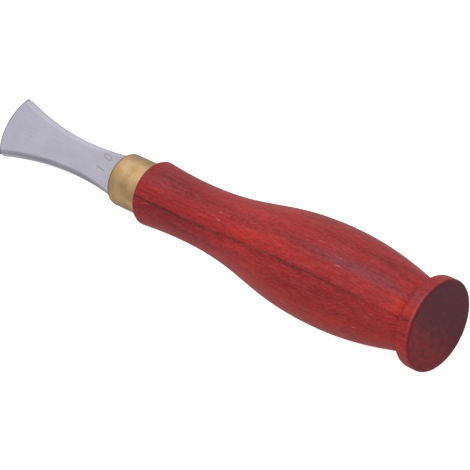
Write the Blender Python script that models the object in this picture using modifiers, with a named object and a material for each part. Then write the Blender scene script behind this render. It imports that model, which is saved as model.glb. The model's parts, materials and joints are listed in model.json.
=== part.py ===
"""Leather creaser: a fan-shaped steel creasing blade, glued by its tang into a turned hardwood
handle, with a brass ferrule over the handle's tenon.

Each piece is modelled on the tool's own axis: X runs from the butt face to the blade's tip, Y runs
across the blade and Z is square to the blade's flat faces. The empty tool_axis then lays the tool
down on a flat surface, blade level, where it rests on the handle's belly and front shoulder.
"""

import math

import bmesh
import bpy
from mathutils import Vector
from mathutils.geometry import interpolate_bezier

MM = 0.001

# Handle, with places along the tool counted from the butt face
HANDLE_LENGTH = 93.0 * MM
FLANGE_DIAMETER = 23.2 * MM
FLANGE_WIDTH = 4.8 * MM
FLANGE_BACK_RADIUS = 2.0 * MM
BUTT_EDGE_RADIUS = 0.6 * MM
NECK_DIAMETER = 17.3 * MM
BELLY_DIAMETER = 25.9 * MM
BELLY_FROM_BUTT = 33.0 * MM
WAIST_DIAMETER = 15.95 * MM
WAIST_TO_SHOULDER = 15.2 * MM
SHOULDER_DIAMETER = 17.5 * MM
SHOULDER_EDGE_RADIUS = 0.4 * MM

# Curve of the handle's outline: its slope at both ends, and each knot's pull as a share of the span
NECK_SLOPE = 0.25
SHOULDER_SLOPE = 0.10
NECK_PULL = 0.25
BELLY_BACK_PULL = 0.45
BELLY_FRONT_PULL = 0.45
WAIST_BACK_PULL = 0.468
WAIST_FRONT_PULL = 0.42
SHOULDER_PULL = 0.28

# Ferrule
FERRULE_DIAMETER = 14.26 * MM
FERRULE_LENGTH = 10.5 * MM
FERRULE_WALL = 0.88 * MM
FERRULE_EDGE_RADIUS = 0.3 * MM

# Blade, with places along it counted from the front of the ferrule
BLADE_LENGTH = 46.2 * MM
BLADE_THICKNESS = 3.1 * MM
BLADE_EDGE_CHAMFER = 1.1 * MM
ROOT_STRAIGHT = 2.1 * MM
BLADE_WAIST_WIDTH = 9.4 * MM
BLADE_WAIST_AT = 16.5 * MM
TIP_WIDTH = 17.0 * MM
TIP_RADIUS = 15.1 * MM
LIP_CHAMFER = 0.35 * MM
CREASE_GROOVE_WIDTH = 1.0 * MM
CREASE_GROOVE_DEPTH = 0.8 * MM

# Tang and the bore that it is glued into
SHOULDER_RECESS = 1.2 * MM
TANG_LENGTH = 36.0 * MM
TANG_WIDTH = 5.0 * MM
TANG_END_WIDTH = 3.4 * MM
TANG_TAPER_LENGTH = 8.0 * MM
TANG_END_ROOM = 2.0 * MM
ADHESIVE_WALL = 0.6 * MM
DRILL_POINT_ANGLE = math.radians(118.0)

# Gap between pieces that touch or fit into each other
CLEARANCE = 0.3 * MM

# Fineness of the model
TURN_STEPS = 48
TIP_STEPS = 144
ARC_STEPS = 4
RISE_STEPS = 9
FALL_STEPS = 13
FLARE_STEPS = 5
ROOT_STEPS = 6
FAN_STEPS = 14
GROOVE_STEPS = 8
TILT_ROUNDS = 12
WELD_DISTANCE = 0.001 * MM

# Room by which a cutter passes the surface that it cuts, and the most of the half thickness that a
# chamfer takes
CUT_ROOM = 2.0 * MM
CHAMFER_LIMIT = 0.8

# Sizes that follow from the ones above
FERRULE_FRONT = HANDLE_LENGTH + CLEARANCE + FERRULE_LENGTH
FERRULE_BORE_RADIUS = FERRULE_DIAMETER / 2 - FERRULE_WALL
TENON_RADIUS = FERRULE_BORE_RADIUS - CLEARANCE
TENON_FRONT = FERRULE_FRONT - SHOULDER_RECESS
BLADE_SHOULDER = TENON_FRONT + CLEARANCE
HALF_THICKNESS = BLADE_THICKNESS / 2
EDGE_CHAMFER = min(BLADE_EDGE_CHAMFER, CHAMFER_LIMIT * HALF_THICKNESS)
ROOT_HALF_WIDTH = math.sqrt(FERRULE_BORE_RADIUS**2 - HALF_THICKNESS**2) - CLEARANCE
TIP_APEX = FERRULE_FRONT + BLADE_LENGTH
TIP_CENTRE = TIP_APEX - TIP_RADIUS
TIP_CORNER = TIP_CENTRE + math.sqrt(TIP_RADIUS**2 - (TIP_WIDTH / 2) ** 2)
BLADE_WAIST = FERRULE_FRONT + BLADE_WAIST_AT
TANG_END = BLADE_SHOULDER - TANG_LENGTH
POCKET_REACH = math.hypot(TANG_WIDTH / 2, HALF_THICKNESS) + CLEARANCE
ADHESIVE_RADIUS = POCKET_REACH + ADHESIVE_WALL
BORE_RADIUS = ADHESIVE_RADIUS + CLEARANCE
BORE_END = TANG_END - TANG_END_ROOM
DRILL_POINT_SLOPE = 1.0 / math.tan(DRILL_POINT_ANGLE / 2)


def arc(centre, radius, start, end, steps=ARC_STEPS):
    """Points on a circle in a plane, from one angle to another, both ends included."""
    turns = [start + (end - start) * step / steps for step in range(steps + 1)]
    return [(centre[0] + radius * math.cos(turn), centre[1] + radius * math.sin(turn)) for turn in turns]


def swelling(start, start_slope, start_pull, end, end_slope, end_pull, steps):
    """Bezier points between two (along, radius) knots, each with a slope and a share of the span as pull."""
    span = end[0] - start[0]
    start_handle = Vector(start) + Vector((1.0, start_slope)) * span * start_pull
    end_handle = Vector(end) - Vector((1.0, end_slope)) * span * end_pull
    points = interpolate_bezier(Vector(start), start_handle, end_handle, Vector(end), steps + 1)
    return [(point.x, point.y) for point in points]


def principled(name, colour, roughness, metallic):
    """A material with one Principled BSDF."""
    material = bpy.data.materials.new(name)
    material.use_nodes = True
    shader = material.node_tree.nodes["Principled BSDF"]
    shader.inputs["Base Color"].default_value = (*colour, 1.0)
    shader.inputs["Roughness"].default_value = roughness
    shader.inputs["Metallic"].default_value = metallic
    return material


def turned(name, points, collection, closed=False, axis="X", steps=TURN_STEPS):
    """A solid turned about the tool's axis, or about Z, from a profile that runs down its outer side."""
    if axis == "X":
        corners = [(along, radius, 0.0) for along, radius in points]
    else:
        corners = [(radius, 0.0, height) for radius, height in points]
    edges = [(corner, corner + 1) for corner in range(len(corners) - 1)]
    if closed:
        edges.append((len(corners) - 1, 0))
    mesh = bpy.data.meshes.new(name)
    mesh.from_pydata(corners, edges, [])
    solid = bpy.data.objects.new(name, mesh)
    collection.objects.link(solid)
    screw = solid.modifiers.new("turning", "SCREW")
    screw.axis = axis
    screw.steps = steps
    screw.render_steps = steps
    screw.use_merge_vertices = True
    screw.merge_threshold = WELD_DISTANCE
    # Half a step of turn puts a flat facet, not a ridge, at the bottom
    solid.rotation_euler["XYZ".index(axis)] = math.pi / steps
    return solid


def plate(name, half_outline, thickness, chamfer, collection):
    """A flat plate, symmetric about the tool's axis, with a chamfer round both of its faces."""
    outline = half_outline + [(along, -across) for along, across in reversed(half_outline)]
    curve = bpy.data.curves.new(name, "CURVE")
    curve.dimensions = "2D"
    curve.fill_mode = "BOTH"
    curve.extrude = thickness / 2 - chamfer
    curve.bevel_depth = chamfer
    curve.bevel_resolution = 0
    curve.offset = -chamfer
    spline = curve.splines.new("POLY")
    spline.points.add(len(outline) - 1)
    for point, (along, across) in zip(spline.points, outline):
        point.co = (along, across, 0.0, 1.0)
    spline.use_cyclic_u = True
    drawn = bpy.data.objects.new(name + "_outline", curve)
    collection.objects.link(drawn)

    mesh = bpy.data.meshes.new_from_object(drawn.evaluated_get(bpy.context.evaluated_depsgraph_get()))
    mesh.name = name
    shape = bmesh.new()
    shape.from_mesh(mesh)
    bmesh.ops.remove_doubles(shape, verts=shape.verts, dist=WELD_DISTANCE)
    bmesh.ops.recalc_face_normals(shape, faces=shape.faces)
    shape.to_mesh(mesh)
    shape.free()
    solid = bpy.data.objects.new(name, mesh)
    collection.objects.link(solid)
    bpy.data.objects.remove(drawn)
    return solid


def cut(solid, cutter):
    """Takes the cutter's shape out of the solid."""
    boolean = solid.modifiers.new("cut_" + cutter.name, "BOOLEAN")
    boolean.operation = "DIFFERENCE"
    boolean.solver = "EXACT"
    boolean.object = cutter


def as_cutter(solid):
    """Marks a solid as a tool that only cuts others."""
    solid.hide_render = True
    solid.display_type = "WIRE"
    return solid


def handle_outline():
    """The handle's outer profile as (along, radius) points, from the butt's centre to the shoulder."""
    flange = FLANGE_DIAMETER / 2
    butt_edge = arc(
        (BUTT_EDGE_RADIUS, flange - BUTT_EDGE_RADIUS), BUTT_EDGE_RADIUS, math.pi, math.pi / 2
    )
    flange_back = arc(
        (FLANGE_WIDTH - FLANGE_BACK_RADIUS, flange - FLANGE_BACK_RADIUS), FLANGE_BACK_RADIUS, math.pi / 2, 0.0
    )
    neck = (FLANGE_WIDTH, NECK_DIAMETER / 2)
    belly = (BELLY_FROM_BUTT, BELLY_DIAMETER / 2)
    waist = (HANDLE_LENGTH - WAIST_TO_SHOULDER, WAIST_DIAMETER / 2)
    shoulder_edge = arc(
        (HANDLE_LENGTH - SHOULDER_EDGE_RADIUS, SHOULDER_DIAMETER / 2 - SHOULDER_EDGE_RADIUS),
        SHOULDER_EDGE_RADIUS,
        math.pi / 2,
        0.0,
    )
    shoulder = shoulder_edge[0]
    rise = swelling(neck, NECK_SLOPE, NECK_PULL, belly, 0.0, BELLY_BACK_PULL, RISE_STEPS)
    fall = swelling(belly, 0.0, BELLY_FRONT_PULL, waist, 0.0, WAIST_BACK_PULL, FALL_STEPS)
    flare = swelling(waist, 0.0, WAIST_FRONT_PULL, shoulder, SHOULDER_SLOPE, SHOULDER_PULL, FLARE_STEPS)
    return [(0.0, 0.0)] + butt_edge + flange_back + rise + fall[1:] + flare[1:] + shoulder_edge[1:]


def make_handle(collection):
    """The turned handle, with its tenon and the bore that the tang goes into."""
    bore = [
        (BORE_END - BORE_RADIUS * DRILL_POINT_SLOPE, 0.0),
        (BORE_END, BORE_RADIUS),
        (TENON_FRONT, BORE_RADIUS),
    ]
    tenon = [(TENON_FRONT, TENON_RADIUS), (HANDLE_LENGTH, TENON_RADIUS)]
    handle = turned("handle", bore + tenon + handle_outline()[::-1], collection)
    handle.data.materials.append(principled("lacquered_red_hardwood", (0.34, 0.042, 0.045), 0.4, 0.0))
    return handle


def make_ferrule(collection):
    """The brass tube that stands on the handle's shoulder and binds its tenon."""
    back = HANDLE_LENGTH + CLEARANCE
    outer = FERRULE_DIAMETER / 2
    inset = FERRULE_EDGE_RADIUS
    front_edge = arc((FERRULE_FRONT - inset, outer - inset), inset, 0.0, math.pi / 2)
    back_edge = arc((back + inset, outer - inset), inset, math.pi / 2, math.pi)
    inside = [(back, FERRULE_BORE_RADIUS), (FERRULE_FRONT, FERRULE_BORE_RADIUS)]
    ferrule = turned("ferrule", front_edge + back_edge + inside, collection, closed=True)
    ferrule.data.materials.append(principled("satin_brass", (0.52, 0.33, 0.155), 0.35, 1.0))
    return ferrule


def tang_half_outline(grown):
    """Half of the tang's outline, from its end to the blade's shoulder, grown all round by a gap."""
    return [
        (TANG_END - grown, TANG_END_WIDTH / 2 + grown),
        (TANG_END + TANG_TAPER_LENGTH, TANG_WIDTH / 2 + grown),
        (BLADE_SHOULDER + grown, TANG_WIDTH / 2 + grown),
    ]


def blade_half_width(along):
    """Half the blade's width, which grows with the square of the distance from the blade's waist."""
    waist = BLADE_WAIST_WIDTH / 2
    root_end = FERRULE_FRONT + ROOT_STRAIGHT
    if along > BLADE_WAIST:
        return waist + (TIP_WIDTH / 2 - waist) * ((along - BLADE_WAIST) / (TIP_CORNER - BLADE_WAIST)) ** 2
    return waist + (ROOT_HALF_WIDTH - waist) * min(1.0, (BLADE_WAIST - along) / (BLADE_WAIST - root_end)) ** 2


def make_tip_cutter(blank_end, cutters):
    """The ring that leaves the blade's curved edge, with its lips and the groove between them."""
    above = HALF_THICKNESS + CUT_ROOM
    outside = math.hypot(blank_end - TIP_CENTRE, blade_half_width(blank_end)) + CUT_ROOM
    chamfer_inside = TIP_RADIUS - LIP_CHAMFER - CUT_ROOM
    lip = HALF_THICKNESS - LIP_CHAMFER
    half_groove = CREASE_GROOVE_WIDTH / 2
    groove = [
        (TIP_RADIUS - CREASE_GROOVE_DEPTH * math.cos(turn), half_groove * math.sin(turn))
        for turn in (math.pi * (step / GROOVE_STEPS - 0.5) for step in range(GROOVE_STEPS + 1))
    ]
    lower_lip = [(outside, -above), (chamfer_inside, -above), (TIP_RADIUS, -lip)]
    upper_lip = [(TIP_RADIUS, lip), (chamfer_inside, above), (outside, above)]
    section = lower_lip + groove + upper_lip
    ring = turned("tip_cutter", section, cutters, closed=True, axis="Z", steps=TIP_STEPS)
    ring.location.x = TIP_CENTRE

    # Only the front of the ring cuts, so its back is taken away first
    front_start = (TIP_CENTRE + TIP_CORNER) / 2
    size = 2 * (outside + CUT_ROOM)
    bpy.ops.mesh.primitive_cube_add(size=size, location=(front_start - size / 2, 0.0, 0.0))
    back = bpy.context.object
    back.name = "tip_cutter_back"
    for other in list(back.users_collection):
        other.objects.unlink(back)
    cutters.objects.link(back)
    cut(ring, as_cutter(back))
    return as_cutter(ring)


def make_blade(collection, cutters):
    """The steel blade with its tang: a chamfered plate whose front is cut to the working edge."""
    blank_end = TIP_APEX + CUT_ROOM
    root_end = FERRULE_FRONT + ROOT_STRAIGHT
    root = [root_end + (BLADE_WAIST - root_end) * step / ROOT_STEPS for step in range(ROOT_STEPS)]
    fan = [BLADE_WAIST + (blank_end - BLADE_WAIST) * step / FAN_STEPS for step in range(FAN_STEPS + 1)]
    stations = [BLADE_SHOULDER] + root + fan
    half_outline = tang_half_outline(0.0) + [(along, blade_half_width(along)) for along in stations]
    blade = plate("creaser_blade", half_outline, BLADE_THICKNESS, EDGE_CHAMFER, collection)
    cut(blade, make_tip_cutter(blank_end, cutters))
    blade.data.materials.append(principled("satin_stainless_steel", (0.46, 0.44, 0.52), 0.35, 1.0))
    return blade


def make_adhesive(collection, cutters):
    """The epoxy bed between the bore and the tang, open at the tenon's front."""
    point = BORE_END - BORE_RADIUS * DRILL_POINT_SLOPE + CLEARANCE / math.sin(DRILL_POINT_ANGLE / 2)
    outline = [
        (TENON_FRONT, 0.0),
        (TENON_FRONT, ADHESIVE_RADIUS),
        (point + ADHESIVE_RADIUS * DRILL_POINT_SLOPE, ADHESIVE_RADIUS),
        (point, 0.0),
    ]
    adhesive = turned("tang_adhesive", outline, collection)
    pocket_outline = tang_half_outline(CLEARANCE) + [(TENON_FRONT + CUT_ROOM, TANG_WIDTH / 2 + CLEARANCE)]
    pocket = plate("tang_pocket", pocket_outline, BLADE_THICKNESS + 2 * CLEARANCE, EDGE_CHAMFER, cutters)
    cut(adhesive, as_cutter(pocket))
    adhesive.data.materials.append(principled("cured_epoxy", (0.62, 0.45, 0.2), 0.3, 0.0))
    return adhesive


def resting_tilt():
    """How far the tool leans forward from its belly until the next point of it meets the surface."""
    fronts = [
        (HANDLE_LENGTH - SHOULDER_EDGE_RADIUS, SHOULDER_DIAMETER / 2),
        (FERRULE_FRONT, FERRULE_DIAMETER / 2),
        (TIP_APEX - LIP_CHAMFER, HALF_THICKNESS),
    ]
    back = [point for point in handle_outline() if point[0] < HANDLE_LENGTH - WAIST_TO_SHOULDER]
    tilt = 0.0
    for _ in range(TILT_ROUNDS):
        belly = max(back, key=lambda point: point[1] + point[0] * math.tan(tilt))
        tilt = min(math.atan2(belly[1] - front[1], front[0] - belly[0]) for front in fronts)
    return tilt


def lay_down(pieces, collection, cutters):
    """Parents everything to the tool's axis and rests the tool on the ground, centred on the origin."""
    tool_axis = bpy.data.objects.new("tool_axis", None)
    for solid in pieces + list(cutters.objects):
        solid.parent = tool_axis
    collection.objects.link(tool_axis)
    tool_axis.rotation_euler = (0.0, resting_tilt(), 0.0)
    bpy.context.view_layer.update()
    shapes = [piece.evaluated_get(bpy.context.evaluated_depsgraph_get()) for piece in pieces]
    corners = [shape.matrix_world @ corner.co for shape in shapes for corner in shape.data.vertices]
    forward = [corner.x for corner in corners]
    tool_axis.location.x = -(min(forward) + max(forward)) / 2
    tool_axis.location.z = -min(corner.z for corner in corners)


for leftover in list(bpy.data.objects):
    bpy.data.objects.remove(leftover, do_unlink=True)
creaser = bpy.data.collections.new("leather_creaser")
cutting_tools = bpy.data.collections.new("cutters")
bpy.context.scene.collection.children.link(creaser)
bpy.context.scene.collection.children.link(cutting_tools)

handle_piece = make_handle(creaser)
ferrule_piece = make_ferrule(creaser)
adhesive_piece = make_adhesive(creaser, cutting_tools)
blade_piece = make_blade(creaser, cutting_tools)
lay_down([handle_piece, ferrule_piece, adhesive_piece, blade_piece], creaser, cutting_tools)
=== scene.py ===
"""Leather creaser: the looks of a turned red hardwood handle, a brass ferrule and a ground steel blade."""

import json
import math

import bmesh
import bpy
import numpy as np
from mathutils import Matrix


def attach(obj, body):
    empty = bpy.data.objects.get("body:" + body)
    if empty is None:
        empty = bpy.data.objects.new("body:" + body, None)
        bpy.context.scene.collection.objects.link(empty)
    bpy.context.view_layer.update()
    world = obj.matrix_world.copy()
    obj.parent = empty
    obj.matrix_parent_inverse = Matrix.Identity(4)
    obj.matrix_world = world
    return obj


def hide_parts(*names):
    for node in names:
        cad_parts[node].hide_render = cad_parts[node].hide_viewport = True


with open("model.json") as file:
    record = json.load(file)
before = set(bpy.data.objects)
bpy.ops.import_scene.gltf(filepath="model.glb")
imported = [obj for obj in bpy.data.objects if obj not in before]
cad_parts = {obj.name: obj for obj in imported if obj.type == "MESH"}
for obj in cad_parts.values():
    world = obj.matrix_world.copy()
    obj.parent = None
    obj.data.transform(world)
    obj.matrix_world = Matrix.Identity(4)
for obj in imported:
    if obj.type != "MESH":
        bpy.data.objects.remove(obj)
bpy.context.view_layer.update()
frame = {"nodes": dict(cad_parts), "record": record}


# Handle: one piece of open-grained hardwood, turned to a flanged butt, a belly and a waist, stained red and
# finished in satin lacquer. Its front is turned down to a tenon for the ferrule and bored for the tang.

# Sizes are in mm, and places along the tool are counted from the butt's face
MM = 0.001
HANDLE_LENGTH = 93.0
FLANGE_RADIUS = 11.575
FLANGE_WIDTH = 4.8
FLANGE_BACK_ROUNDING = 2.0
BUTT_EDGE_ROUNDING = 0.7
NECK_RADIUS = 8.78
NECK_FILLET = 0.7
BELLY_RADIUS = 12.922
BELLY_AT = 33.0
WAIST_RADIUS = 7.958
WAIST_AT = 77.8
SHOULDER_RADIUS = 8.731
SHOULDER_EDGE_ROUNDING = 0.5
TENON_RADIUS = 5.93
TENON_FRONT = 102.6
BORE_RADIUS = 4.15
BORE_END = 64.9
BORE_POINT = 62.4

# How steeply the turned profile leaves a knot, and how far it is pulled that way, as a share of the span
NECK_SLOPE = 0.25
NECK_PULL = 0.25
BELLY_PULL = 0.45
WAIST_BACK_PULL = 0.468
WAIST_FRONT_PULL = 0.42
SHOULDER_SLOPE = 0.10
SHOULDER_PULL = 0.28

# Points round each ring, rings on each stretch of the profile, and limits for welding and for a sharp edge
TURNS = 192
ARC_RINGS = 9
FLANGE_BACK_RINGS = 17
BUTT_RINGS = 12
RISE_RINGS = 49
FALL_RINGS = 65
FLARE_RINGS = 25
WELD_DISTANCE = 1e-7
SHARP_ANGLE = math.radians(30.0)

# The tool leans a little as it lies, so its axes come from the mount on the butt's face
butt_mount = frame["record"]["mounts"][0]
BUTT = np.array(butt_mount["pos_m"])
FORWARD = -np.array(butt_mount["axis"])
ACROSS = np.array([0.0, 1.0, 0.0])
UP = np.cross(FORWARD, ACROSS)


def on_tool(along, across, above):
    """Points of the row frame, from places in mm along, across and above the tool's axis."""
    offsets = along[..., None] * FORWARD + across[..., None] * ACROSS + above[..., None] * UP
    return BUTT + MM * offsets


def swelling(start, start_slope, start_pull, end, end_slope, end_pull, count):
    """Cubic Bezier between two (along, radius) knots: each handle has a slope and a share of the span."""
    start = np.array(start)
    end = np.array(end)
    span = end[0] - start[0]
    leaving = start + span * start_pull * np.array([1.0, start_slope])
    arriving = end - span * end_pull * np.array([1.0, end_slope])
    t = np.linspace(0.0, 1.0, count)[:, None]
    s = 1.0 - t
    return s**3 * start + 3 * s**2 * t * leaving + 3 * s * t**2 * arriving + t**3 * end


def rounding(centre, radius, first, last, count=ARC_RINGS):
    """Arc: centre plus radius times the cosine and sine of angles from first to last, in degrees."""
    angle = np.radians(np.linspace(first, last, count))
    return np.array(centre) + radius * np.stack([np.cos(angle), np.sin(angle)], -1)


def turned(profile):
    """Carries an (along, radius) profile round the axis: its sine goes across, its cosine above."""
    turn = np.linspace(0.0, 2 * math.pi, TURNS, endpoint=False)
    along = np.repeat(profile[:, :1], TURNS, axis=1)
    return on_tool(along, profile[:, 1:] * np.sin(turn), profile[:, 1:] * np.cos(turn))


def quads(rows, columns, wraps):
    """Corners of a grid's faces, with points counted row by row, where a wrapped row ends at its start."""
    row, column = np.meshgrid(np.arange(rows - 1), np.arange(columns - (not wraps)), indexing="ij")
    after = (column + 1) % columns
    near = row * columns
    far = near + columns
    return np.stack([near + column, near + after, far + after, far + column], -1).reshape(-1, 4)


def make_piece(name, grids, material, wraps=False):
    """One closed mesh from grids of points, welded at seams and poles, in place of the CAD node so named."""
    points = []
    faces = []
    count = 0
    for grid in grids:
        points.append(grid.reshape(-1, 3))
        faces.append(quads(*grid.shape[:2], wraps) + count)
        count += len(points[-1])
    mesh = bpy.data.meshes.new(name + "_surface")
    mesh.from_pydata(np.concatenate(points).tolist(), [], np.concatenate(faces).tolist())
    shape = bmesh.new()
    shape.from_mesh(mesh)
    bmesh.ops.remove_doubles(shape, verts=shape.verts, dist=WELD_DISTANCE)
    bmesh.ops.recalc_face_normals(shape, faces=shape.faces)
    shape.to_mesh(mesh)
    shape.free()
    mesh.polygons.foreach_set("use_smooth", np.ones(len(mesh.polygons), bool))
    mesh.set_sharp_from_angle(angle=SHARP_ANGLE)
    mesh.materials.append(material)
    piece = bpy.data.objects.new(name + "_shown", mesh)
    bpy.context.scene.collection.objects.link(piece)
    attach(piece, "root")
    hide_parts(name)


def linear(code):
    """Linear RGBA from an sRGB hex code: a dark channel over 12.92, any other by the power law of 2.4."""
    channel = np.array([int(code[place : place + 2], 16) for place in (0, 2, 4)]) / 255
    light = np.where(channel <= 0.04045, channel / 12.92, ((channel + 0.055) / 1.055) ** 2.4)
    return (*light.tolist(), 1.0)


def add(tree, kind, links=None, stops=None, **settings):
    """Adds a node: settings are its own, links give values or sockets to its inputs, stops fill its ramp."""
    node = tree.nodes.new(kind)
    for setting, value in settings.items():
        setattr(node, setting, value)
    for socket, value in (links or {}).items():
        if isinstance(value, bpy.types.NodeSocket):
            tree.links.new(value, node.inputs[socket])
        else:
            node.inputs[socket].default_value = value
    for place, (position, colour) in enumerate(stops or []):
        ramp = node.color_ramp.elements
        stop = ramp[place] if place < 2 else ramp.new(position)
        stop.position = position
        stop.color = colour
    return node


def start_material(name):
    """A new material, its tree, its shader, and the tool's own axes in metres from the butt's centre."""
    material = bpy.data.materials.new(name)
    material.use_nodes = True
    tree = material.node_tree
    lean = math.atan2(-FORWARD[2], FORWARD[0])
    place = [-FORWARD @ BUTT, 0.0, -UP @ BUTT]
    object_axes = add(tree, "ShaderNodeTexCoord").outputs["Object"]
    tool_axes = add(
        tree, "ShaderNodeMapping", {"Vector": object_axes, "Rotation": (0.0, -lean, 0.0), "Location": place}
    )
    return material, tree, tree.nodes["Principled BSDF"], tool_axes.outputs["Vector"]


def per_mm(along, across, above):
    """Scale of a pattern on the tool's axes from its size in mm each way, where None leaves a way out."""
    return [0.0 if size is None else 1.0 / (size * MM) for size in (along, across, above)]


# Red-stained padauk-like hardwood under satin lacquer: growth layers square to the blade's width show as
# long lines along the handle, with orange and maroon fibres, dark pores and a few pale specks between them
wood, tree, shader, tool_axes = start_material("stained_hardwood_satin_lacquer")

# The grain is turned about the tool's axis as the camera is, so that its lines lie as in the photograph
GRAIN_TURN = math.radians(2.4)
grain = add(
    tree, "ShaderNodeMapping", {"Vector": tool_axes, "Rotation": (-GRAIN_TURN, 0.0, 0.0)}
).outputs["Vector"]
split = add(tree, "ShaderNodeSeparateXYZ", {"Vector": grain})

# The layers wander by up to half a millimetre, and bend aside between the belly and the waist
WANDER = 0.5
BEND = -0.6
BEND_FROM = 40.0
BEND_TO = 76.0
wander_scale = add(tree, "ShaderNodeMapping", {"Vector": grain, "Scale": per_mm(26.0, 14.0, 14.0)})
wander = add(tree, "ShaderNodeTexNoise", {"Vector": wander_scale.outputs[0], "Scale": 1.0, "Detail": 2.0})
bend = add(
    tree,
    "ShaderNodeMapRange",
    {
        "Value": split.outputs["X"],
        "From Min": BEND_FROM * MM,
        "From Max": BEND_TO * MM,
        "To Min": 0.0,
        "To Max": BEND * MM,
    },
    interpolation_type="SMOOTHSTEP",
)
layer_shift = add(
    tree,
    "ShaderNodeMath",
    {0: wander.outputs[0], 1: WANDER * MM, 2: bend.outputs[0]},
    operation="MULTIPLY_ADD",
)
layer_at = add(tree, "ShaderNodeMath", {0: split.outputs["Y"], 1: layer_shift.outputs[0]}, operation="ADD")

# Growth layers by their place across the tool in mm: their tone, their share of purple-grey heartwood, in a
# soft streak on one side of the axis, and their share of the dark line on the other, where one season ends
LAYER_REACH = 13.0
MEAN_WANDER = 0.5 * WANDER
layers = [
    (-13.0, 0.60, 0.0, 0.0),
    (-9.0, 0.66, 0.0, 0.0),
    (-7.4, 0.64, 0.0, 0.0),
    (-7.0, 0.62, 0.1, 0.0),
    (-6.3, 0.68, 0.2, 0.0),
    (-4.4, 0.64, 0.3, 0.0),
    (-3.4, 0.56, 0.7, 0.0),
    (-2.4, 0.55, 0.8, 0.0),
    (-1.5, 0.62, 0.6, 0.0),
    (-0.5, 0.72, 0.0, 0.0),
    (1.4, 0.74, 0.0, 0.0),
    (2.5, 0.66, 0.0, 0.0),
    (2.7, 0.62, 0.0, 0.0),
    (3.05, 0.56, 0.0, 1.0),
    (3.45, 0.54, 0.0, 0.3),
    (3.9, 0.58, 0.0, 0.0),
    (4.6, 0.66, 0.0, 0.0),
    (6.0, 0.58, 0.25, 0.0),
    (7.2, 0.70, 0.2, 0.0),
    (8.6, 0.68, 0.0, 0.0),
    (13.0, 0.72, 0.0, 0.0),
]
layer_place = add(
    tree,
    "ShaderNodeMapRange",
    {
        "Value": layer_at.outputs[0],
        "From Min": (MEAN_WANDER - LAYER_REACH) * MM,
        "From Max": (MEAN_WANDER + LAYER_REACH) * MM,
    },
)
layer_ramp = add(
    tree,
    "ShaderNodeValToRGB",
    {"Fac": layer_place.outputs[0]},
    stops=[((place + LAYER_REACH) / (2 * LAYER_REACH), (*shares, 1.0)) for place, *shares in layers],
)
layer_tone = add(tree, "ShaderNodeSeparateColor", {0: layer_ramp.outputs[0]})

# Along the handle in mm: its tone, where its lacquer is dull, and how strong the season's line and the
# heartwood are. The tone darkens as painted shade on the flange's back, in the crease before the neck,
# where the lacquer is dull too, and rises just in front as a painted glow of light bounced from the flange.
# The front of the belly is brightest. The heartwood is strongest over the back of the belly, where its
# purple-grey is partly a painted sheen. The ramp holds half the tone, because a colour in it ends at 1
SPAN = 96.0
spans = [
    (0.0, 0.95, 0.0, 0.6, 0.5),
    (2.9, 0.95, 0.0, 0.6, 0.5),
    (4.2, 0.72, 1.0, 0.5, 0.3),
    (5.2, 0.98, 1.0, 0.6, 0.3),
    (6.2, 1.07, 0.4, 0.7, 0.4),
    (9.0, 1.00, 0.0, 0.35, 0.8),
    (14.0, 0.96, 0.0, 0.3, 1.0),
    (26.0, 0.95, 0.0, 0.8, 0.9),
    (40.0, 1.00, 0.0, 0.85, 0.2),
    (52.0, 1.08, 0.0, 0.35, 0.0),
    (64.0, 0.99, 0.0, 0.7, 0.1),
    (80.0, 0.88, 0.0, 1.0, 0.3),
    (96.0, 0.88, 0.0, 0.9, 0.5),
]
span_place = add(tree, "ShaderNodeMapRange", {"Value": split.outputs["X"], "From Max": SPAN * MM})
span_ramp = add(
    tree,
    "ShaderNodeValToRGB",
    {"Fac": span_place.outputs[0]},
    stops=[(place / SPAN, (0.5 * tone, dull, line, heart)) for place, tone, dull, line, heart in spans],
)
span_tone = add(tree, "ShaderNodeSeparateColor", {0: span_ramp.outputs[0]})
half_tone = add(
    tree, "ShaderNodeMath", {0: layer_tone.outputs[0], 1: span_tone.outputs[0]}, operation="MULTIPLY"
)
tone = add(tree, "ShaderNodeMath", {0: half_tone.outputs[0], 1: 2.0}, operation="MULTIPLY").outputs[0]

# Darker and brighter flames in the figure, and one painted glow of light bounced from the flange onto the
# neck: places along and across, reaches both ways in mm, change of tone
flames_and_neck_glow = [
    (82.0, -4.1, 20.0, 2.4, -0.21),
    (78.0, 5.2, 24.0, 2.4, -0.18),
    (54.0, 0.6, 26.0, 3.0, 0.05),
    (90.0, -1.2, 9.0, 2.0, 0.10),
    (12.0, 4.6, 14.0, 3.0, 0.08),
    # Not a flame: a painted glow of light bounced from the flange onto the neck
    (6.5, 1.0, 5.0, 8.0, 0.15),
    (20.0, -7.8, 17.0, 1.6, -0.22),
    (30.0, 6.5, 18.0, 3.0, -0.10),
    (84.0, 1.0, 15.0, 2.2, -0.09),
    (39.0, 3.7, 12.0, 1.1, -0.24),
    (34.0, 7.6, 13.0, 1.2, -0.18),
]
for along, across, long, wide, change in flames_and_neck_glow:
    flame_place = add(
        tree,
        "ShaderNodeMapping",
        {
            "Vector": grain,
            "Location": (-along / long, -across / wide, 0.0),
            "Scale": per_mm(long, wide, None),
        },
    )
    flame = add(
        tree, "ShaderNodeTexGradient", {"Vector": flame_place.outputs[0]}, gradient_type="SPHERICAL"
    )
    tone = add(
        tree, "ShaderNodeMath", {0: flame.outputs[1], 1: change, 2: tone}, operation="MULTIPLY_ADD"
    ).outputs[0]

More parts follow.
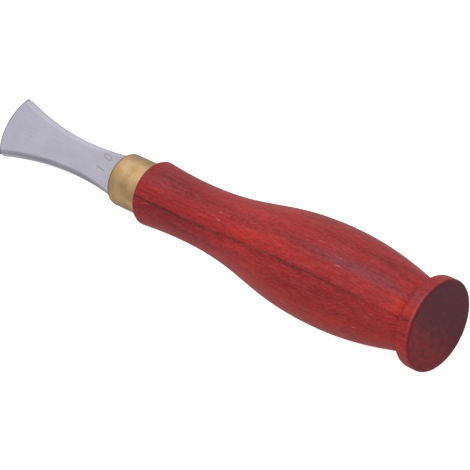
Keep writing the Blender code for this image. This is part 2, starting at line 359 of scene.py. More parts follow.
# Streaks 2 mm wide, fibres 0.6 mm wide and fine fibres 0.2 mm wide, all drawn out along the grain: length,
# width, swing of tone and detail. The finest stand up in relief too
fibres = [(30.0, 2.0, 0.52, 1.0), (9.0, 0.6, 0.38, 2.0), (2.4, 0.22, 0.30, 2.0)]
for along, aside, share, detail in fibres:
    drawn_out = add(tree, "ShaderNodeMapping", {"Vector": grain, "Scale": per_mm(along, aside, aside)})
    fibre = add(
        tree, "ShaderNodeTexNoise", {"Vector": drawn_out.outputs[0], "Scale": 1.0, "Detail": detail}
    )
    swing = add(
        tree, "ShaderNodeMath", {0: fibre.outputs[0], 1: share, 2: -0.5 * share}, operation="MULTIPLY_ADD"
    )
    tone = add(tree, "ShaderNodeMath", {0: tone, 1: swing.outputs[0]}, operation="ADD").outputs[0]
fibre_height = fibre.outputs[0]

stain = add(
    tree,
    "ShaderNodeValToRGB",
    {"Fac": tone},
    stops=[
        (0.0, linear("3e0c0f")),
        (1.0, linear("b92e1c")),
        (0.25, linear("6b1115")),
        (0.45, linear("83161b")),
        (0.60, linear("901a1e")),
        (0.80, linear("a3211f")),
    ],
)

# Purple-grey heartwood, broken along the grain. Over the back of the belly, where it is strongest, its
# purple-grey is partly a painted sheen of the lacquer
heart_scale = add(tree, "ShaderNodeMapping", {"Vector": grain, "Scale": per_mm(18.0, 2.2, 2.2)})
heart = add(tree, "ShaderNodeTexNoise", {"Vector": heart_scale.outputs[0], "Scale": 1.0, "Detail": 3.0})
heart_layer = add(
    tree, "ShaderNodeMath", {0: layer_tone.outputs[1], 1: span_ramp.outputs["Alpha"]}, operation="MULTIPLY"
)
heart_and_sheen_share = add(
    tree, "ShaderNodeMath", {0: heart.outputs[0], 1: heart_layer.outputs[0]}, operation="MULTIPLY"
)
colour = add(
    tree,
    "ShaderNodeMix",
    {0: heart_and_sheen_share.outputs[0], 6: stain.outputs[0], 7: linear("6e414a")},
    data_type="RGBA",
).outputs[2]

# The season's line, frayed by the fibres beside it
fray = add(
    tree,
    "ShaderNodeMapRange",
    {"Value": fibre_height, "From Min": 0.3, "From Max": 0.6, "To Min": 0.5, "To Max": 1.0},
)
line_strength = add(
    tree, "ShaderNodeMath", {0: layer_tone.outputs[2], 1: span_tone.outputs[2]}, operation="MULTIPLY"
)
line_share = add(
    tree, "ShaderNodeMath", {0: line_strength.outputs[0], 1: fray.outputs[0]}, operation="MULTIPLY"
)
colour = add(
    tree,
    "ShaderNodeMix",
    {0: line_share.outputs[0], 6: colour, 7: linear("3c1215")},
    data_type="RGBA",
).outputs[2]

# Dark streaks of late wood, 0.7 mm wide
late_scale = add(tree, "ShaderNodeMapping", {"Vector": grain, "Scale": per_mm(24.0, 0.7, 0.7)})
late = add(tree, "ShaderNodeTexNoise", {"Vector": late_scale.outputs[0], "Scale": 1.0, "Detail": 2.0})
late_share = add(
    tree,
    "ShaderNodeMapRange",
    {"Value": late.outputs[0], "From Min": 0.54, "From Max": 0.74, "To Max": 0.42},
)
colour = add(
    tree,
    "ShaderNodeMix",
    {0: late_share.outputs[0], 6: colour, 7: linear("521418")},
    data_type="RGBA",
).outputs[2]

# Pale dry fibres between the stained ones, 4 mm and 1.2 mm long, which also serve as painted glints of
# the lacquer over the pores
for along, aside, most in ((4.0, 0.5, 0.19), (1.2, 0.3, 0.25)):
    dry_scale = add(tree, "ShaderNodeMapping", {"Vector": grain, "Scale": per_mm(along, aside, aside)})
    dry = add(tree, "ShaderNodeTexNoise", {"Vector": dry_scale.outputs[0], "Scale": 1.0, "Detail": 3.0})
    dry_fibre_and_glint_share = add(
        tree,
        "ShaderNodeMapRange",
        {"Value": dry.outputs[0], "From Min": 0.48, "From Max": 0.80, "To Max": most},
    )
    colour = add(
        tree,
        "ShaderNodeMix",
        {0: dry_fibre_and_glint_share.outputs[0], 6: colour, 7: linear("b46562")},
        data_type="RGBA",
    ).outputs[2]

# Dark pores 2.4 mm long and 0.2 mm wide, and a few pale specks, 2.7 mm by 0.3 mm: spacing along and aside
# in mm, reach as a share of the spacing, colour, and share of places taken
pores = [(5.0, 0.42, 0.24, "5c1517", 0.45), (8.0, 0.9, 0.17, "c47b71", 0.07)]
marks = []
for along, aside, reach, code, kept in pores:
    drawn_out = add(tree, "ShaderNodeMapping", {"Vector": grain, "Scale": per_mm(along, aside, aside)})
    cell = add(tree, "ShaderNodeTexVoronoi", {"Vector": drawn_out.outputs[0], "Scale": 1.0})
    near = add(
        tree,
        "ShaderNodeMapRange",
        {"Value": cell.outputs["Distance"], "From Min": reach, "From Max": 0.3 * reach, "To Max": 0.75},
    )
    chosen = add(tree, "ShaderNodeSeparateColor", {0: cell.outputs["Color"]})
    some = add(tree, "ShaderNodeMath", {0: chosen.outputs[0], 1: kept}, operation="LESS_THAN")
    mark = add(tree, "ShaderNodeMath", {0: near.outputs[0], 1: some.outputs[0]}, operation="MULTIPLY")
    colour = add(
        tree, "ShaderNodeMix", {0: mark.outputs[0], 6: colour, 7: linear(code)}, data_type="RGBA"
    ).outputs[2]
    marks.append(mark.outputs[0])
pore_depth = marks[0]

# End grain drinks more stain, so the butt's face is dark maroon, mottled by its pores and redder on one side
END_DEPTH = 0.6
REDDER_FROM = -2.0
REDDER_TO = 5.0
MOTTLE_STRENGTH = 1.15
end_share = add(
    tree,
    "ShaderNodeMapRange",
    {"Value": split.outputs["X"], "From Min": END_DEPTH * MM, "From Max": 0.25 * END_DEPTH * MM},
)
mottle_scale = add(tree, "ShaderNodeMapping", {"Vector": grain, "Scale": per_mm(None, 0.9, 1.8)})
mottle = add(tree, "ShaderNodeTexNoise", {"Vector": mottle_scale.outputs[0], "Scale": 1.0, "Detail": 4.0})
redder = add(
    tree,
    "ShaderNodeMapRange",
    {
        "Value": split.outputs["Y"],
        "From Min": REDDER_FROM * MM,
        "From Max": REDDER_TO * MM,
        "To Min": -0.24,
        "To Max": 0.15,
    },
)
end_tone = add(
    tree,
    "ShaderNodeMath",
    {0: mottle.outputs[0], 1: MOTTLE_STRENGTH, 2: redder.outputs[0]},
    operation="MULTIPLY_ADD",
)
end_grain = add(
    tree,
    "ShaderNodeValToRGB",
    {"Fac": end_tone.outputs[0]},
    stops=[(0.1, linear("461d28")), (0.9, linear("84191f")), (0.5, linear("5a1a24"))],
)
colour = add(
    tree,
    "ShaderNodeMix",
    {0: end_share.outputs[0], 6: colour, 7: end_grain.outputs[0]},
    data_type="RGBA",
).outputs[2]

# Painted highlight: a pale line along the top of the butt's rim, where light catches its rounding
RIM_AT = 0.8
RIM_REACH = 0.34
TOP_OF_RIM = 8.5
off_rim = add(tree, "ShaderNodeMath", {0: split.outputs["X"], 1: RIM_AT * MM}, operation="SUBTRACT")
from_rim = add(tree, "ShaderNodeMath", {0: off_rim.outputs[0]}, operation="ABSOLUTE")
rim_highlight_line = add(
    tree,
    "ShaderNodeMapRange",
    {"Value": from_rim.outputs[0], "From Min": RIM_REACH * MM, "From Max": 0.0, "To Max": 0.14},
)
on_top = add(
    tree,
    "ShaderNodeMapRange",
    {"Value": split.outputs["Z"], "From Min": TOP_OF_RIM * MM, "From Max": FLANGE_RADIUS * MM},
)
rim_highlight_share = add(
    tree, "ShaderNodeMath", {0: rim_highlight_line.outputs[0], 1: on_top.outputs[0]}, operation="MULTIPLY"
)
colour = add(
    tree,
    "ShaderNodeMix",
    {0: rim_highlight_share.outputs[0], 6: colour, 7: linear("cf8f8c")},
    data_type="RGBA",
).outputs[2]
tree.links.new(colour, shader.inputs["Base Color"])

# Thin satin lacquer: its gloss changes from fibre to fibre, it is duller on the flange's back, and the
# open pores show through it
DULLER = 0.3
PORE_DEPTH_SHARE = 0.6
sheen = add(tree, "ShaderNodeMapRange", {"Value": fibre_height, "To Min": 0.40, "To Max": 0.56})
rough = add(
    tree,
    "ShaderNodeMath",
    {0: span_tone.outputs[1], 1: DULLER, 2: sheen.outputs[0]},
    operation="MULTIPLY_ADD",
)
tree.links.new(rough.outputs[0], shader.inputs["Roughness"])
shader.inputs["IOR"].default_value = 1.5
shader.inputs["Specular IOR Level"].default_value = 0.19
relief = add(
    tree, "ShaderNodeMath", {0: pore_depth, 1: -PORE_DEPTH_SHARE, 2: fibre_height}, operation="MULTIPLY_ADD"
)
bump = add(tree, "ShaderNodeBump", {"Height": relief.outputs[0], "Strength": 0.4, "Distance": 0.05 * MM})
tree.links.new(bump.outputs[0], shader.inputs["Normal"])

# The turned profile, from the middle of the butt's face over the shoulder and the tenon into the bore
neck = (FLANGE_WIDTH + NECK_FILLET, NECK_RADIUS)
belly = (BELLY_AT, BELLY_RADIUS)
waist = (WAIST_AT, WAIST_RADIUS)
shoulder = (HANDLE_LENGTH - SHOULDER_EDGE_ROUNDING, SHOULDER_RADIUS)
butt_edge = (BUTT_EDGE_ROUNDING, FLANGE_RADIUS - BUTT_EDGE_ROUNDING)
flange_back = (FLANGE_WIDTH - FLANGE_BACK_ROUNDING, FLANGE_RADIUS - FLANGE_BACK_ROUNDING)
shoulder_edge = (shoulder[0], SHOULDER_RADIUS - SHOULDER_EDGE_ROUNDING)
butt_face = np.stack([np.zeros(BUTT_RINGS), np.linspace(0.0, butt_edge[1], BUTT_RINGS)], -1)
handle_profile = np.concatenate(
    [
        butt_face[:-1],
        rounding(butt_edge, BUTT_EDGE_ROUNDING, 180, 90),
        rounding(flange_back, FLANGE_BACK_ROUNDING, 90, 0, FLANGE_BACK_RINGS),
        rounding((neck[0], NECK_RADIUS + NECK_FILLET), NECK_FILLET, 180, 270),
        swelling(neck, NECK_SLOPE, NECK_PULL, belly, 0.0, BELLY_PULL, RISE_RINGS)[1:],
        swelling(belly, 0.0, BELLY_PULL, waist, 0.0, WAIST_BACK_PULL, FALL_RINGS)[1:],
        swelling(waist, 0.0, WAIST_FRONT_PULL, shoulder, SHOULDER_SLOPE, SHOULDER_PULL, FLARE_RINGS)[1:],
        rounding(shoulder_edge, SHOULDER_EDGE_ROUNDING, 90, 0)[1:],
        [(HANDLE_LENGTH, TENON_RADIUS), (TENON_FRONT, TENON_RADIUS), (TENON_FRONT, BORE_RADIUS)],
        [(BORE_END, BORE_RADIUS), (BORE_POINT, 0.0)],
    ]
)
make_piece("handle", [turned(handle_profile)], wood, wraps=True)


# Ferrule: a short length of drawn brass tube, faced and satin-turned in the lathe, pressed over the tenon up
# to the handle's shoulder to keep the wood from splitting.

FERRULE_RADIUS = 7.115
FERRULE_BORE_RADIUS = 6.25
FERRULE_BACK = 93.3
FERRULE_FRONT = 103.8
FERRULE_EDGE_ROUNDING = 0.3

# Satin brass: fine turning lines round the tube spread its highlights along it, it is browned in patches,
# and light that grazes its sides comes back pale grey
brass, tree, shader, tool_axes = start_material("satin_turned_brass")
patch_scale = add(tree, "ShaderNodeMapping", {"Vector": tool_axes, "Scale": per_mm(3.0, 3.0, 3.0)})
patch = add(tree, "ShaderNodeTexNoise", {"Vector": patch_scale.outputs[0], "Scale": 1.0, "Detail": 3.0})
line_scale = add(tree, "ShaderNodeMapping", {"Vector": tool_axes, "Scale": per_mm(0.22, 14.0, 14.0)})
lines = add(tree, "ShaderNodeTexNoise", {"Vector": line_scale.outputs[0], "Scale": 1.0, "Detail": 2.0})
tarnish = add(
    tree,
    "ShaderNodeValToRGB",
    {"Fac": patch.outputs[0]},
    stops=[(0.3, linear("ba986a")), (0.7, linear("d6b388"))],
)
line_share = add(
    tree,
    "ShaderNodeMapRange",
    {"Value": lines.outputs[0], "From Min": 0.45, "From Max": 0.75, "To Max": 0.28},
)
colour = add(
    tree,
    "ShaderNodeMix",
    {0: line_share.outputs[0], 6: tarnish.outputs[0], 7: linear("9a7a50")},
    data_type="RGBA",
).outputs[2]

# Painted shade: a dark brown line just behind the front edge, next to the blade
BROWN_BEHIND_FRONT = 0.35
BROWN_REACH = 0.25
split = add(tree, "ShaderNodeSeparateXYZ", {"Vector": tool_axes})
brown_at = (FERRULE_FRONT - BROWN_BEHIND_FRONT) * MM
off_brown = add(tree, "ShaderNodeMath", {0: split.outputs["X"], 1: brown_at}, operation="SUBTRACT")
from_brown = add(tree, "ShaderNodeMath", {0: off_brown.outputs[0]}, operation="ABSOLUTE")
front_shade_share = add(
    tree,
    "ShaderNodeMapRange",
    {"Value": from_brown.outputs[0], "From Min": BROWN_REACH * MM, "From Max": 0.0, "To Max": 0.9},
)
colour = add(
    tree,
    "ShaderNodeMix",
    {0: front_shade_share.outputs[0], 6: colour, 7: linear("6a4a35")},
    data_type="RGBA",
).outputs[2]
tree.links.new(colour, shader.inputs["Base Color"])
shader.inputs["Specular Tint"].default_value = linear("c0c0c6")
satin = add(tree, "ShaderNodeMapRange", {"Value": lines.outputs[0], "To Min": 0.22, "To Max": 0.36})
tree.links.new(satin.outputs[0], shader.inputs["Roughness"])
shader.inputs["Metallic"].default_value = 1.0
bump = add(tree, "ShaderNodeBump", {"Height": lines.outputs[0], "Strength": 0.25, "Distance": 0.02 * MM})
tree.links.new(bump.outputs[0], shader.inputs["Normal"])

edge_centre = FERRULE_RADIUS - FERRULE_EDGE_ROUNDING
ferrule_profile = np.concatenate(
    [
        [(FERRULE_FRONT, FERRULE_BORE_RADIUS), (FERRULE_BACK, FERRULE_BORE_RADIUS)],
        rounding((FERRULE_BACK + FERRULE_EDGE_ROUNDING, edge_centre), FERRULE_EDGE_ROUNDING, 180, 90),
        rounding((FERRULE_FRONT - FERRULE_EDGE_ROUNDING, edge_centre), FERRULE_EDGE_ROUNDING, 90, 0),
        [(FERRULE_FRONT, FERRULE_BORE_RADIUS)],
    ]
)
make_piece("ferrule", [turned(ferrule_profile)], brass, wraps=True)


# Tang adhesive: the bed of epoxy that was poured into the bore round the flat tang. Only its front face
# shows, inside the ferrule's mouth.

# Cured epoxy: amber, glossy, with a slight cloudiness from fine bubbles
epoxy, tree, shader, tool_axes = start_material("cured_epoxy")
cloud_scale = add(tree, "ShaderNodeMapping", {"Vector": tool_axes, "Scale": per_mm(0.8, 0.8, 0.8)})
cloud = add(tree, "ShaderNodeTexNoise", {"Vector": cloud_scale.outputs[0], "Scale": 1.0, "Detail": 4.0})
amber = add(
    tree,
    "ShaderNodeValToRGB",
    {"Fac": cloud.outputs[0]},
    stops=[(0.3, linear("8a6a35")), (0.7, linear("b9965a"))],
)
tree.links.new(amber.outputs[0], shader.inputs["Base Color"])
shader.inputs["Roughness"].default_value = 0.25
shader.inputs["IOR"].default_value = 1.55
frame["nodes"]["tang_adhesive"].data.materials[0] = epoxy


# Blade: one piece of stainless steel, ground flat with bevelled long edges, fanning out to a curved front
# edge with a creasing groove between two lips. Its tang runs back into the handle, and the groove's width is
# stamped on top.

HALF_THICKNESS = 1.55
BEVEL_WIDTH = 0.95
BEVEL_DEPTH = 0.6
BEVEL_ROOT_SHARE = 0.45
BEVEL_FULL_AT = 118.0
FACE_ROUNDING = 1.3
EDGE_ROUNDING = 0.25
BLADE_SHOULDER = 102.9
ROOT_END = 105.9
ROOT_HALF_WIDTH = 5.754
BLADE_WAIST = 120.3
WAIST_HALF_WIDTH = 4.7
TIP_CENTRE = 134.9
TIP_RADIUS = 15.095
TIP_HALF_WIDTH = 8.5
LIP_CHAMFER = 0.35
GROOVE_HALF_WIDTH = 0.5
GROOVE_DEPTH = 0.8

# The tang's places along the tool and its half width at each
TANG_STATIONS = np.array([(66.9, 1.7), (74.9, 2.5), (102.85, 2.5)])

# The stamped figures: the middle of the 1, their lean, height, depth and stroke, then places in heights
STAMP_AT = (112.5, 0.45)
STAMP_LEAN = math.radians(9.0)
STAMP_HEIGHT = 2.8
STAMP_DEPTH = 0.03
STROKE_HALF_WIDTH = 0.17
FIGURE_HALF = 0.5
FLAG_ASIDE = 0.22
FLAG_DOWN = 0.2
POINT_ASIDE = 0.66
POINT_DOWN = 0.45
ZERO_ASIDE = 1.27
ZERO_HALF_WIDTH = 0.22
ZERO_MEAN_RADIUS = 0.3

# Points across the blade and round its edges, and rounds that settle where a line meets the front edge
COLUMNS = 97
EDGE_POINTS = 7
GROOVE_POINTS = 25
LIP_POINTS = 12
HEIGHT_DECIMALS = 6
FRONT_ROUNDS = 24


def half_width(along):
    """Half the blade's width: its waist plus a square law towards the tip's corner or back to the root."""
    tip_corner = TIP_CENTRE + math.sqrt(TIP_RADIUS**2 - TIP_HALF_WIDTH**2)
    fan = np.clip((along - BLADE_WAIST) / (tip_corner - BLADE_WAIST), 0.0, None)
    root = np.clip((BLADE_WAIST - along) / (BLADE_WAIST - ROOT_END), 0.0, 1.0)
    wider = (TIP_HALF_WIDTH - WAIST_HALF_WIDTH) * fan**2 + (ROOT_HALF_WIDTH - WAIST_HALF_WIDTH) * root**2
    return WAIST_HALF_WIDTH + wider


def bevel_share(along):
    """Share of the full bevel's width: it is ground narrow at the root and widens evenly to full width."""
    return np.interp(along, [ROOT_END, BEVEL_FULL_AT], [BEVEL_ROOT_SHARE, 1.0])


def side_section():
    """Heights from top to bottom, with insets from the outline: bevel, edge and bevel, each arris an arc."""
    slope = math.degrees(math.atan2(BEVEL_DEPTH, BEVEL_WIDTH))
    edge = HALF_THICKNESS - BEVEL_DEPTH
    face_reach = FACE_ROUNDING * math.tan(math.radians(slope / 2))
    edge_reach = EDGE_ROUNDING * math.tan(math.radians((90 - slope) / 2))
    face_centre = (BEVEL_WIDTH + face_reach, HALF_THICKNESS - FACE_ROUNDING)
    edge_centre = (EDGE_ROUNDING, edge - edge_reach)
    upper = rounding(face_centre, FACE_ROUNDING, 90, 90 + slope)
    lower = rounding(edge_centre, EDGE_ROUNDING, 90 + slope, 180, EDGE_POINTS)
    half = np.concatenate([upper, lower])
    outline = np.concatenate([half, half[::-1] * (1.0, -1.0)])
    groove = GROOVE_HALF_WIDTH * np.sin(np.radians(np.linspace(-90.0, 90.0, GROOVE_POINTS)))
    lip = HALF_THICKNESS - LIP_CHAMFER
    between = np.linspace(GROOVE_HALF_WIDTH, HALF_THICKNESS, LIP_POINTS)[1:-1]
    heights = np.concatenate([outline[:, 1], groove, [lip, -lip], between, -between])
    heights = np.unique(np.round(heights, HEIGHT_DECIMALS))[::-1]
    return heights, np.interp(heights, outline[::-1, 1], outline[::-1, 0])


def lip_radius(height):
    """Front edge's radius: full at the lips, less a half ellipse in the groove and a chamfer at the faces."""
    groove = GROOVE_DEPTH * np.sqrt(np.clip(1.0 - (height / GROOVE_HALF_WIDTH) ** 2, 0.0, None))
    chamfer = np.clip(np.abs(height) - (HALF_THICKNESS - LIP_CHAMFER), 0.0, None)
    return TIP_RADIUS - groove - chamfer


def front_edge(share, inset, radius):
    """Where a lengthwise line, at a share of the inset half width, meets a circle about the tip's centre."""
    along = np.full(np.broadcast(share, inset, radius).shape, TIP_CENTRE + TIP_RADIUS)
    for _ in range(FRONT_ROUNDS):
        along = TIP_CENTRE + np.sqrt(radius**2 - (share * (half_width(along) - inset)) ** 2)
    return along


def blade_sheet(share, inset, height, rows):
    """Lengthwise lines from the tang's end, then by shares of the way from the shoulder to the front edge."""
    front = front_edge(share, inset, lip_radius(height))
    along = BLADE_SHOULDER + rows * (front - BLADE_SHOULDER)
    across = share * (half_width(along) - inset * bevel_share(along))
    tang_along = np.repeat(TANG_STATIONS[:, :1], len(front), axis=1)
    tang_across = share * (TANG_STATIONS[:, 1:] - inset)
    return np.concatenate([tang_along, along]), np.concatenate([tang_across, across])


def stamp(along, across):
    """Depth of the stamped 1.0, leaning a little: full near a stroke's middle line, none past its sides."""
    ahead = along - STAMP_AT[0]
    aside = across - STAMP_AT[1]
    up = (ahead * math.cos(STAMP_LEAN) - aside * math.sin(STAMP_LEAN)) / STAMP_HEIGHT
    right = (-ahead * math.sin(STAMP_LEAN) - aside * math.cos(STAMP_LEAN)) / STAMP_HEIGHT
    below_top = FIGURE_HALF - up
    stem = np.hypot(right, np.clip(np.abs(up) - FIGURE_HALF, 0.0, None))
    flag_reach = (FLAG_DOWN * below_top - FLAG_ASIDE * right) / (FLAG_ASIDE**2 + FLAG_DOWN**2)
    flag_share = np.clip(flag_reach, 0.0, 1.0)
    flag = np.hypot(right + FLAG_ASIDE * flag_share, below_top - FLAG_DOWN * flag_share)
    point = np.hypot(right - POINT_ASIDE, up + POINT_DOWN)
    oval = np.hypot((right - ZERO_ASIDE) / ZERO_HALF_WIDTH, up / FIGURE_HALF)
    zero = np.abs(oval - 1.0) * ZERO_MEAN_RADIUS
    distance = STAMP_HEIGHT * np.minimum(np.minimum(stem, flag), np.minimum(point, zero))
    depth = np.clip(1.5 - distance / STROKE_HALF_WIDTH, 0.0, 1.0)
    return STAMP_DEPTH * depth**2 * (3.0 - 2.0 * depth)


# Stainless steel, satin ground: faint grinding lines along the faces, dark streaks on one side's bevels
# that also serve as painted shade, painted shade on the other side's bevels towards the tip and at the
# root next to the ferrule, darker stamped figures and a painted dark reflection along the working edge
steel, tree, shader, tool_axes = start_material("satin_ground_stainless_steel")
split = add(tree, "ShaderNodeSeparateXYZ", {"Vector": tool_axes})
cloud_scale = add(tree, "ShaderNodeMapping", {"Vector": tool_axes, "Scale": per_mm(6.0, 5.0, 5.0)})
cloud = add(tree, "ShaderNodeTexNoise", {"Vector": cloud_scale.outputs[0], "Scale": 1.0, "Detail": 3.0})
grey = add(
    tree,
    "ShaderNodeValToRGB",
    {"Fac": cloud.outputs[0]},
    stops=[(0.3, linear("bab7c8")), (0.7, linear("c2bfce"))],
)

# Painted shade: the root is darker next to the ferrule
ROOT_SHADE_FULL_AT = 104.0
ROOT_SHADE_ENDS_AT = 116.0
root_shade_share = add(
    tree,
    "ShaderNodeMapRange",
    {
        "Value": split.outputs["X"],
        "From Min": ROOT_SHADE_ENDS_AT * MM,
        "From Max": ROOT_SHADE_FULL_AT * MM,
        "To Max": 0.5,
    },
)
colour = add(
    tree,
    "ShaderNodeMix",
    {0: root_shade_share.outputs[0], 6: grey.outputs[0], 7: linear("aaa5ad")},
    data_type="RGBA",
).outputs[2]

# The bevels, told from the faces by their depth below them: streaked on one side, where the dark streaks
# also serve as painted shade, and darkened towards the tip on the other as painted shade
BELOW_FACE = 0.08
TIP_SHADE_FROM = 112.0
TIP_SHADE_FULL_AT = 145.0
off_middle = add(tree, "ShaderNodeMath", {0: split.outputs["Z"]}, operation="ABSOLUTE")
on_bevel = add(
    tree,
    "ShaderNodeMapRange",
    {
        "Value": off_middle.outputs[0],
        "From Min": HALF_THICKNESS * MM,
        "From Max": (HALF_THICKNESS - BELOW_FACE) * MM,
    },
)
streak_scale = add(tree, "ShaderNodeMapping", {"Vector": tool_axes, "Scale": per_mm(14.0, None, 0.22)})
streak = add(tree, "ShaderNodeTexNoise", {"Vector": streak_scale.outputs[0], "Scale": 1.0, "Detail": 2.0})
streak_share = add(
    tree,
    "ShaderNodeMapRange",
    {"Value": streak.outputs[0], "From Min": 0.25, "From Max": 0.65, "To Max": 0.46},
)
on_side = add(
    tree,
    "ShaderNodeMapRange",
    {"Value": split.outputs["Y"], "From Min": 0.0, "From Max": WAIST_HALF_WIDTH * MM},
)
tip_shade_share = add(
    tree,
    "ShaderNodeMapRange",
    {
        "Value": split.outputs["X"],
        "From Min": TIP_SHADE_FROM * MM,
        "From Max": TIP_SHADE_FULL_AT * MM,
        "To Max": 0.2,
    },
)
streaks_and_tip_shade = add(
    tree,
    "ShaderNodeMix",
    {0: on_side.outputs[0], 2: tip_shade_share.outputs[0], 3: streak_share.outputs[0]},
    data_type="FLOAT",
)
bevel_streaks_and_shade = add(
    tree, "ShaderNodeMath", {0: on_bevel.outputs[0], 1: streaks_and_tip_shade.outputs[0]}, operation="MULTIPLY"
)
colour = add(
    tree,
    "ShaderNodeMix",
    {0: bevel_streaks_and_shade.outputs[0], 6: colour, 7: linear("6c6a72")},
    data_type="RGBA",
).outputs[2]

# The stamped figures are darker, told by their depth, within a circle about the middle of the three
STAMP_DARK_REACH = 2.65
MIDDLE_FROM_ONE = 1.95
figures_middle = STAMP_AT[1] - MIDDLE_FROM_ONE
stamp_place = add(
    tree,
    "ShaderNodeMapping",
    {
        "Vector": tool_axes,
        "Location": [-STAMP_AT[0] / STAMP_DARK_REACH, -figures_middle / STAMP_DARK_REACH, 0.0],
        "Scale": per_mm(STAMP_DARK_REACH, STAMP_DARK_REACH, None),
    },
)
near_stamp = add(
    tree, "ShaderNodeTexGradient", {"Vector": stamp_place.outputs[0]}, gradient_type="SPHERICAL"
)
in_reach = add(tree, "ShaderNodeMath", {0: near_stamp.outputs[1], 1: 0.0}, operation="GREATER_THAN")
off_floor = add(
    tree,
    "ShaderNodeMath",
    {0: split.outputs["Z"], 1: (HALF_THICKNESS - STAMP_DEPTH) * MM},
    operation="SUBTRACT",
)
from_floor = add(tree, "ShaderNodeMath", {0: off_floor.outputs[0]}, operation="ABSOLUTE")
sunk = add(
    tree,
    "ShaderNodeMapRange",
    {
        "Value": from_floor.outputs[0],
        "From Min": 0.9 * STAMP_DEPTH * MM,
        "From Max": 0.2 * STAMP_DEPTH * MM,
        "To Max": 0.45,
    },
)
stamp_darkening = add(tree, "ShaderNodeMath", {0: in_reach.outputs[0], 1: sunk.outputs[0]}, operation="MULTIPLY")
colour = add(
    tree,
    "ShaderNodeMix",
    {0: stamp_darkening.outputs[0], 6: colour, 7: linear("8c7f7c")},
    data_type="RGBA",
).outputs[2]

# Painted dark reflection along the working edge, told by its distance from the tip's centre. Points behind
# that centre count as level with it, so that the root isn't darkened too
EDGE_BAND = 0.9
FAR_OUT = 1.0
ahead_of_centre = add(
    tree,
    "ShaderNodeVectorMath",
    {0: tool_axes, 1: (TIP_CENTRE * MM, -FAR_OUT, -FAR_OUT)},
    operation="MAXIMUM",
)
edge_place = add(
    tree,
    "ShaderNodeMapping",
    {
        "Vector": ahead_of_centre.outputs[0],
        "Location": (-TIP_CENTRE / TIP_RADIUS, 0.0, 0.0),
        "Scale": per_mm(TIP_RADIUS, TIP_RADIUS, None),
    },
)
from_edge = add(
    tree, "ShaderNodeTexGradient", {"Vector": edge_place.outputs[0]}, gradient_type="SPHERICAL"
)
edge_dark_reflection_share = add(
    tree,
    "ShaderNodeMapRange",
    {"Value": from_edge.outputs[1], "From Min": EDGE_BAND / TIP_RADIUS, "From Max": 0.0, "To Max": 0.9},
)
colour = add(
    tree,
    "ShaderNodeMix",
    {0: edge_dark_reflection_share.outputs[0], 6: colour, 7: linear("525056")},
    data_type="RGBA",
).outputs[2]
tree.links.new(colour, shader.inputs["Base Color"])

# Grinding lines, drawn 0.35 mm wide so that they show
grind_scale = add(tree, "ShaderNodeMapping", {"Vector": tool_axes, "Scale": per_mm(9.0, 0.35, 0.35)})
grind = add(tree, "ShaderNodeTexNoise", {"Vector": grind_scale.outputs[0], "Scale": 1.0, "Detail": 3.0})
satin = add(tree, "ShaderNodeMapRange", {"Value": grind.outputs[0], "To Min": 0.22, "To Max": 0.36})
tree.links.new(satin.outputs[0], shader.inputs["Roughness"])
shader.inputs["Metallic"].default_value = 1.0
bump = add(tree, "ShaderNodeBump", {"Height": grind.outputs[0], "Strength": 0.2, "Distance": 0.015 * MM})
tree.links.new(bump.outputs[0], shader.inputs["Normal"])

# Shares of the way from the shoulder to the front edge, closest together where the figures are stamped
FIGURES_FROM = 0.07
FIGURES_TO = 0.32
ROOT_ROWS = 8
FIGURE_ROWS = 120
FAN_ROWS = 60
rows = np.concatenate(
    [
        np.linspace(0.0, FIGURES_FROM, ROOT_ROWS),
        np.linspace(FIGURES_FROM, FIGURES_TO, FIGURE_ROWS)[1:],
        np.linspace(FIGURES_TO, 1.0, FAN_ROWS)[1:],
    ]
)[:, None]
heights, insets = side_section()
shares = np.linspace(-1.0, 1.0, COLUMNS)

# Two faces, with the stamp kept off the outermost lines, then two sides, the front edge and the tang's end
top_along, top_across = blade_sheet(shares, insets[0], np.full(COLUMNS, HALF_THICKNESS), rows)
inside = np.abs(shares) < 1.0
top = on_tool(top_along, top_across, HALF_THICKNESS - inside * stamp(top_along, top_across))
bottom = on_tool(top_along, top_across, np.full_like(top_along, -HALF_THICKNESS))
sides = []
for side in (-1.0, 1.0):
    side_along, side_across = blade_sheet(np.full(len(heights), side), insets, heights, rows)
    sides.append(on_tool(side_along, side_across, heights))
cap_along = front_edge(shares, insets[:, None], lip_radius(heights)[:, None])
cap_across = shares * (half_width(cap_along) - insets[:, None])
cap = on_tool(cap_along, cap_across, heights[:, None])
tang_start, tang_half_width = TANG_STATIONS[0]
tang_across = shares * (tang_half_width - insets[:, None])
tang_end = on_tool(np.full_like(tang_across, tang_start), tang_across, heights[:, None])
make_piece("creaser_blade", [top, bottom, *sides, cap, tang_end], steel)


# Studio: a plain white floor under soft light from all round that is brighter on the window's side, with one
# wide softbox overhead, and a camera fitted to the photograph.

FLOOR_REACH = 4.0
FLOOR_POINTS = 9
FLOOR_LIFT = 0.68
FLOOR_LIFT_IN_GLOSS = 0.05
WINDOW_DIRECTION = (0.0, -0.82, 0.57)
FILL_AWAY_FROM_WINDOW = 0.6
FILL_AT_WINDOW = 1.12
KEY_DIRECTION = np.array([0.064, 0.04, 0.997])
KEY_DISTANCE = 0.8
KEY_LONG = 0.46
KEY_WIDE = 1.5
KEY_RADIANCE = 1.3
CAMERA_AT = (-0.280332, 0.029517, 0.435850)
CAMERA_TURNS = (19.07414, 26.91251, -148.64744)
CAMERA_LENS = 155.043
CAMERA_SENSOR = 36.0

sheet = np.linspace(-FLOOR_REACH, FLOOR_REACH, FLOOR_POINTS)
floor_x, floor_y = np.meshgrid(sheet, sheet, indexing="ij")
floor_points = np.stack([floor_x, floor_y, np.zeros_like(floor_x)], -1)
floor_faces = quads(FLOOR_POINTS, FLOOR_POINTS, False)
floor_mesh = bpy.data.meshes.new("floor")
floor_mesh.from_pydata(floor_points.reshape(-1, 3).tolist(), [], floor_faces.tolist())
floor = bpy.data.objects.new("floor", floor_mesh)
bpy.context.scene.collection.objects.link(floor)

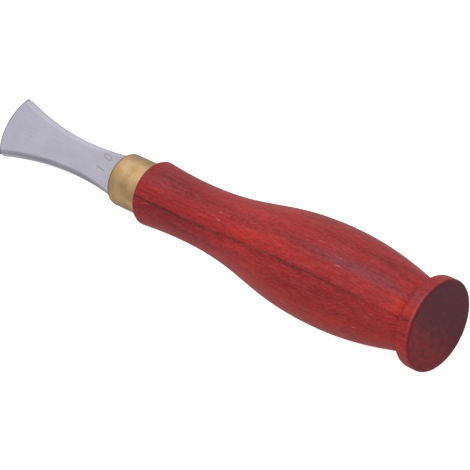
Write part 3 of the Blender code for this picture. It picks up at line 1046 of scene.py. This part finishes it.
# White paper, lifted to white for the camera. Gloss sees it lifted less, because at the full lift the sides
# of the brass come out far brighter than in the photograph
paper = bpy.data.materials.new("white_paper")
paper.use_nodes = True
tree = paper.node_tree
shader = tree.nodes["Principled BSDF"]
shader.inputs["Base Color"].default_value = linear("d0d0d0")
shader.inputs["Roughness"].default_value = 0.9
rays = add(tree, "ShaderNodeLightPath")
in_gloss = add(
    tree,
    "ShaderNodeMath",
    {0: rays.outputs["Is Glossy Ray"], 1: rays.outputs["Is Transmission Ray"]},
    operation="MAXIMUM",
)
lift_in_gloss = add(
    tree, "ShaderNodeMath", {0: in_gloss.outputs[0], 1: FLOOR_LIFT_IN_GLOSS}, operation="MULTIPLY"
)
lift = add(
    tree,
    "ShaderNodeMath",
    {0: rays.outputs["Is Camera Ray"], 1: FLOOR_LIFT, 2: lift_in_gloss.outputs[0]},
    operation="MULTIPLY_ADD",
)
shader.inputs["Emission Color"].default_value = linear("ffffff")
tree.links.new(lift.outputs[0], shader.inputs["Emission Strength"])
floor_mesh.materials.append(paper)

world = bpy.data.worlds.new("soft_studio")
bpy.context.scene.world = world
world.use_nodes = True
tree = world.node_tree
backdrop = tree.nodes["Background"]
direction = add(tree, "ShaderNodeTexCoord").outputs["Generated"]
to_window = add(tree, "ShaderNodeVectorMath", {0: direction, 1: WINDOW_DIRECTION}, operation="DOT_PRODUCT")
fill = add(
    tree,
    "ShaderNodeMapRange",
    {
        "Value": to_window.outputs["Value"],
        "From Min": 0.1,
        "From Max": 0.8,
        "To Min": FILL_AWAY_FROM_WINDOW,
        "To Max": FILL_AT_WINDOW,
    },
)
tree.links.new(fill.outputs[0], backdrop.inputs["Strength"])
backdrop.inputs["Color"].default_value = linear("ffffff")

softbox_lamp = bpy.data.lights.new("softbox", "AREA")
softbox_lamp.shape = "RECTANGLE"
softbox_lamp.size = KEY_WIDE
softbox_lamp.size_y = KEY_LONG
softbox_lamp.energy = KEY_RADIANCE * math.pi * KEY_LONG * KEY_WIDE
softbox = bpy.data.objects.new("softbox", softbox_lamp)
bpy.context.scene.collection.objects.link(softbox)
softbox.location = KEY_DISTANCE * KEY_DIRECTION
softbox.rotation_euler = softbox.location.to_track_quat("Z", "Y").to_euler()

camera_lens = bpy.data.cameras.new("camera")
camera_lens.lens = CAMERA_LENS
camera_lens.sensor_width = CAMERA_SENSOR
camera = bpy.data.objects.new("camera", camera_lens)
bpy.context.scene.collection.objects.link(camera)
camera.location = CAMERA_AT
camera.rotation_euler = [math.radians(turn) for turn in CAMERA_TURNS]
bpy.context.scene.camera = camera
bpy.context.scene.view_settings.view_transform = "Standard"
